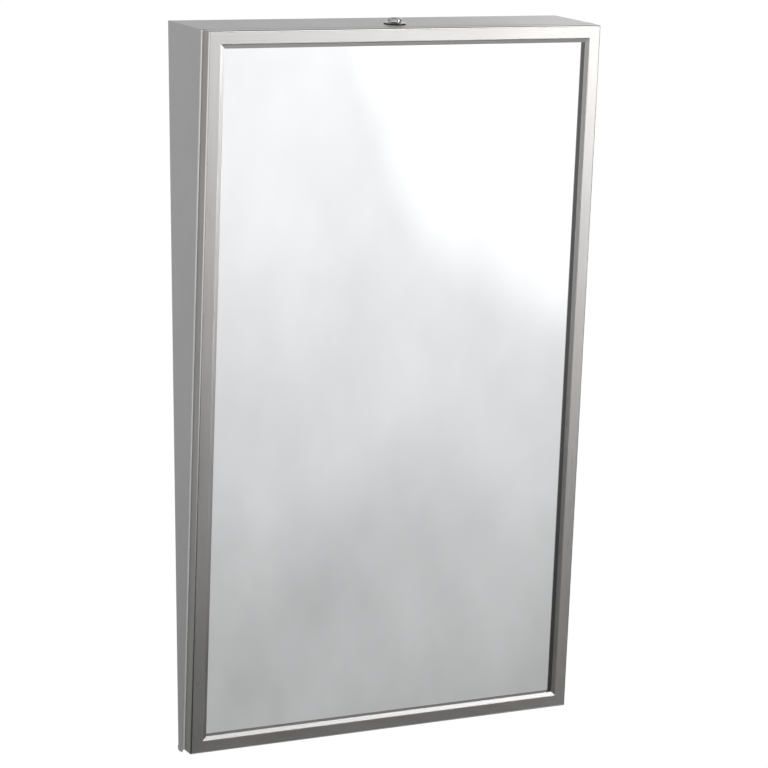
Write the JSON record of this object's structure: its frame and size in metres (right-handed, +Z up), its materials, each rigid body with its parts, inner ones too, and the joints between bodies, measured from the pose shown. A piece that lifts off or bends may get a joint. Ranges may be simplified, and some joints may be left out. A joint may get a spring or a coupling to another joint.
{
  "type": "swing mirror",
  "caption": "Wall mirror in a wedge-shaped stainless case that leans forward, with a cam lock on top and a bottom hinge on which it swings down from its wall plate.",
  "frame": {"origin": "middle of the wall plate's back face, at the centre of its wall screw holes", "axes": "+X to the right seen from the front, +Y into the wall, +Z up"},
  "size_m": [0.4608, 0.1015, 0.7702],
  "materials": {
    "satin_stainless": "fine satin grain along the sheet",
    "frame_stainless": "bright satin, grain along each rail",
    "mirror": "polished silvered glass",
    "black_filler": "matt black strip",
    "felt_pad": "grey pressed felt",
    "galvanised_sheet": "galvanised with a soft spangle",
    "hinge_steel": "plain rolled stainless",
    "rivet_steel": "bright drawn wire",
    "zinc_plate": "zinc plated",
    "lock_chrome": "polished plating",
    "pad_rubber": "black rubber"
  },
  "bodies": {
    "wall_mount": {"wall_plate": "galvanised_sheet", "hinge_spacer": "galvanised_sheet", "hinge_wall_leaf": "hinge_steel", "wall_leaf_rivets": "rivet_steel", "lock_keeper": "zinc_plate", "keeper_rivets": "rivet_steel"},
    "mirror_case": {"case_left": "satin_stainless", "case_right": "satin_stainless", "case_top": "satin_stainless", "case_bottom": "satin_stainless", "frame_left": "frame_stainless", "frame_right": "frame_stainless", "frame_top": "frame_stainless", "frame_bottom": "frame_stainless", "mirror_glass": "mirror", "filler_left": "black_filler", "filler_right": "black_filler", "filler_top": "black_filler", "filler_bottom": "black_filler", "mirror_pad": "felt_pad", "back_panel": "galvanised_sheet", "back_panel_screws": "zinc_plate", "hinge_case_leaf": "hinge_steel", "case_leaf_rivets": "rivet_steel", "hinge_pin": "hinge_steel", "lock_body": "lock_chrome", "lock_washer": "zinc_plate", "lock_nut": "zinc_plate", "wall_pads": "pad_rubber"},
    "lock": {"lock_plug": "lock_chrome", "lock_cam": "zinc_plate", "cam_screw": "zinc_plate"}
  },
  "joints": [
    {"name": "mirror_swing", "type": "hinge", "parent": "wall_mount", "child": "mirror_case", "pos_m": [0, -0.00888, -0.37821], "axis": [1, 0, 0], "range_deg": [0, 105]},
    {"name": "lock_turn", "type": "hinge", "parent": "mirror_case", "child": "lock", "pos_m": [0, -0.06383, 0.38111], "axis": [0, 0.0939, -0.9956], "range_deg": [0, 90]}
  ]
}
